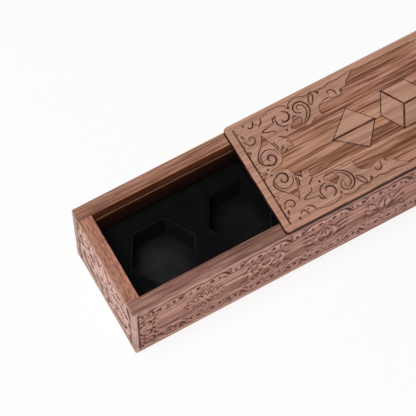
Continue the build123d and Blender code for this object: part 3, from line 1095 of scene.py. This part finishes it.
def lid_piece():
    """The lid's board, with its carved face, rounded rim and rounded corners."""
    low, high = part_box("lid_panel")
    width, height = (high.x - low.x) / MM, (high.y - low.y) / MM
    relief = Relief(grid_lines(LID_FINE, 0, width), grid_lines(LID_FINE, 0, height),
                    LID_CHAR_AND_SHADE)
    relief.cut(lid_pattern(width, height), LID_DEPTH)
    across, up = from_edges(relief)
    rounding = round_edge(np.minimum(across, up), LID_ROUND)
    relief.depth = np.maximum(relief.depth, rounding)
    # painted shadow and char down the lower rounding and on the cut sides
    char = EDGE_CHAR_AND_SHADE * np.clip((rounding - EDGE_START) / EDGE_FADE, 0, 1)
    relief.line = np.maximum(relief.line, char)
    core = np.array((width / 2 - LID_CORNER, height / 2 - LID_CORNER))

    def place(x, y, depth):
        spot = np.stack([x - width / 2, y - height / 2], 1)
        over = np.abs(spot) - core
        corner = (over > 0).all(1)
        pull = over.max(1) / np.maximum(np.hypot(*over.T), 1e-9)
        spot[corner] = (np.sign(spot) * (core + over * pull[:, None]))[corner]
        x = (low.x + high.x) / 2 + spot[:, 0] * MM
        y = (low.y + high.y) / 2 + spot[:, 1] * MM
        return np.stack([x, y, high.z - depth * MM], 1)

    bm = new_mesh()
    bm.faces.new(carved_sheet(bm, relief, place, (high.z - low.z) / MM))
    finish_mesh("lid_board", bm, "lid", "lid_panel", lid_walnut)


def cut_solid(node, *planes):
    """A copy of a node's solid without what lies beyond the planes, open there."""
    bm = new_mesh()
    bm.from_mesh(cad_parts[node].data)
    bmesh.ops.remove_doubles(bm, verts=bm.verts, dist=1e-7)
    for origin, normal in planes:
        geometry = list(bm.verts) + list(bm.edges) + list(bm.faces)
        bmesh.ops.bisect_plane(bm, geom=geometry, plane_co=origin, plane_no=normal,
                               clear_outer=True)
    bmesh.ops.dissolve_limit(bm, angle_limit=radians(0.5), verts=bm.verts, edges=bm.edges)
    return bm


def wall_relief(stops, height, pattern):
    """A wall face with a pattern cut in it, and the distances from its edges."""
    relief = Relief(grid_lines(WALL_FINE, *stops), grid_lines(WALL_FINE, 0, height),
                    WALL_CHAR_AND_SHADE)
    relief.cut(pattern, WALL_DEPTH)
    return relief, *from_edges(relief)


def end_relief(side):
    """An end face's carving: across all three walls on the left, one on the right.

    Its x runs from the face's middle, and place puts its points on the box's end."""
    low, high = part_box("left_end_wall" if side < 0 else "right_end_wall")
    outer, inner = (abs(corner.y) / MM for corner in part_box("front_wall"))
    height = (high.z - low.z) / MM
    stops, margin, face = (-inner, inner), RIGHT_MARGIN, high.x
    if side < 0:
        stops, margin, face = (SKIN - outer, *stops, outer - SKIN), LEFT_MARGIN, low.x
    pattern = Pattern()
    pattern.add(end_pattern(2 * stops[-1], height, margin), (0, margin))
    relief, _, up = wall_relief(stops, height, pattern)
    relief.depth = np.maximum(relief.depth, round_edge(up, BOX_EASE))
    for joint in (-inner, inner):
        seam = np.clip(SEAM - np.abs(relief.x - joint), 0, 1)[None, :]
        relief.depth = np.maximum(relief.depth, seam)

    def place(x, y, depth):
        return np.stack([face - side * depth * MM, -side * x * MM, y * MM], 1)

    return relief, stops, place


def long_wall(name, node, side):
    """The front (side -1) or back (side +1) wall, with its carved face and left end."""
    low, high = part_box(node)
    width, height = (high.x - low.x) / MM, (high.z - low.z) / MM
    face = low.y if side < 0 else high.y
    relief, across, up = wall_relief((0, width), height, long_wall_pattern(width, height))
    bevel = np.clip(CORNER_BEVEL - across, 0, CORNER_BEVEL)
    rim = np.maximum(bevel, round_edge(up, BOX_EASE))
    relief.depth = np.maximum(relief.depth, rim)

    def place(x, y, depth):
        x = low.x + x * MM if side < 0 else high.x - x * MM
        return np.stack([x, face - side * depth * MM, y * MM], 1)

    skin = SKIN * MM
    bm = cut_solid(node, ((0, face - side * skin, 0), (0, side, 0)),
                   ((low.x + skin, 0, 0), (-1, 0, 0)))
    carved_sheet(bm, relief, place, SKIN)
    end, stops, end_place = left_end
    span = stops[2:4] if side < 0 else stops[0:2]
    carved_sheet(bm, end.window(span, (0, height)), end_place, SKIN)
    finish_mesh(name, bm, "box", node,
                front_walnut if side < 0 else back_walnut)


def end_wall(name, node, side):
    """The left (side -1) or right (side +1) end wall."""
    low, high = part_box(node)
    relief, stops, place = left_end if side < 0 else end_relief(side)
    inner = stops[1:3] if side < 0 else stops
    face = low.x if side < 0 else high.x
    bm = cut_solid(node, ((face - side * SKIN * MM, 0, 0), (side, 0, 0)))
    carved_sheet(bm, relief.window(inner, (0, relief.y[-1])), place, SKIN)
    finish_mesh(name, bm, "box", node, end_walnut)


left_end = end_relief(-1)
lid_piece()
long_wall("front_board", "front_wall", -1)
long_wall("back_board", "back_wall", 1)
end_wall("left_end_board", "left_end_wall", -1)
end_wall("right_end_board", "right_end_wall", 1)

for node_name, material in (
    ("base_panel", plain_walnut), ("lid_runner", plain_walnut), ("insert", black_flock),
    *((f"{holder}_magnet_{side}", magnet_nickel)
      for holder in ("wall", "lid") for side in ("front", "back")),
):
    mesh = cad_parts[node_name].data
    mesh.materials.clear()
    mesh.materials.append(material)


# ---- Floor, lamps and camera ----

FLOOR_HALF = 3.0
SOFT_WHITE = 0.13  # strength of the surroundings' light
# Each lamp's place, the point that it faces, its size in metres, and its watts
LAMPS = {
    "overhead": ((-0.35, -0.06, 1.2), (-0.03, 0, 0.03), (0.5, 0.5), 13.2),
    "left_strip": ((-0.9, 0, 0.026), (-0.12, 0, 0.02), (0.9, 0.045), 3.7),
    "front_strip": ((-0.05, -0.85, 0.026), (-0.02, 0, 0.02), (1.0, 0.045), 6.2),
    "back_strip": ((0.05, 0.85, 0.026), (0.02, 0, 0.02), (1.0, 0.045), 3.6),
    "right_strip": ((0.95, 0, 0.026), (0.12, 0, 0.02), (0.9, 0.045), 2.6),
}


def show_white(n, kind, share):
    """Lets camera and glossy rays see plain white for a share of the shader's light."""
    ray = n.make("ShaderNodeLightPath").outputs
    seen = n.math("MAXIMUM", ray["Is Camera Ray"], ray["Is Glossy Ray"])
    white = n.make(kind, {"Color": WHITE, "Strength": 1.0})
    mix = n.make("ShaderNodeMixShader", {0: n.times(seen, share), 1: n.shader.outputs[0],
                                         2: white.outputs[0]})
    n.fill(n.output, {"Surface": mix.outputs[0]})


def lamp(name, place, aim, size, watts):
    """A soft rectangular lamp, out of the camera's sight."""
    data = bpy.data.lights.new(name, "AREA")
    data.shape = "RECTANGLE"
    data.size, data.size_y = size
    data.energy = watts
    lit = new_object(name, data)
    lit.location = place
    lit.rotation_euler = (Vector(aim) - Vector(place)).to_track_quat("-Z", "Y").to_euler()
    lit.visible_camera = False


def studio():
    """A white floor that keeps the shadow, white surroundings and soft lamps."""
    scene = bpy.context.scene
    scene.view_settings.view_transform = "Standard"
    mesh = bpy.data.meshes.new("floor")
    corners = ((-1, -1), (1, -1), (1, 1), (-1, 1))
    mesh.from_pydata([(x * FLOOR_HALF, y * FLOOR_HALF, 0) for x, y in corners], [],
                     [(0, 1, 2, 3)])
    floor = new_object("floor", mesh)
    n = new_nodes("floor_white")
    n.fill(n.shader, {"Base Color": (0.9, 0.9, 0.9), "Roughness": 0.9})
    show_white(n, "ShaderNodeEmission", 0.8)
    mesh.materials.append(n.owner)

    scene.world = bpy.data.worlds.new("surroundings")
    n = Nodes(scene.world)
    n.fill(n.shader, {"Color": WHITE, "Strength": SOFT_WHITE})
    show_white(n, "ShaderNodeBackground", 1.0)
    for name, settings in LAMPS.items():
        lamp(name, *settings)


def camera():
    """The photograph's viewpoint."""
    data = bpy.data.cameras.new("camera")
    data.lens = CAMERA_LENS
    data.sensor_width = CAMERA_SENSOR
    seen = new_object("camera", data)
    ahead = Vector((sin(CAMERA_HEADING) * cos(CAMERA_ELEVATION),
                    cos(CAMERA_HEADING) * cos(CAMERA_ELEVATION), -sin(CAMERA_ELEVATION)))
    turn = ahead.to_track_quat("-Z", "Y").to_matrix().to_4x4()
    turn = turn @ Matrix.Rotation(-CAMERA_ROLL, 4, "Z")
    seen.matrix_world = Matrix.Translation(CAMERA_TARGET - ahead * CAMERA_DISTANCE) @ turn
    bpy.context.scene.camera = seen


studio()
camera()
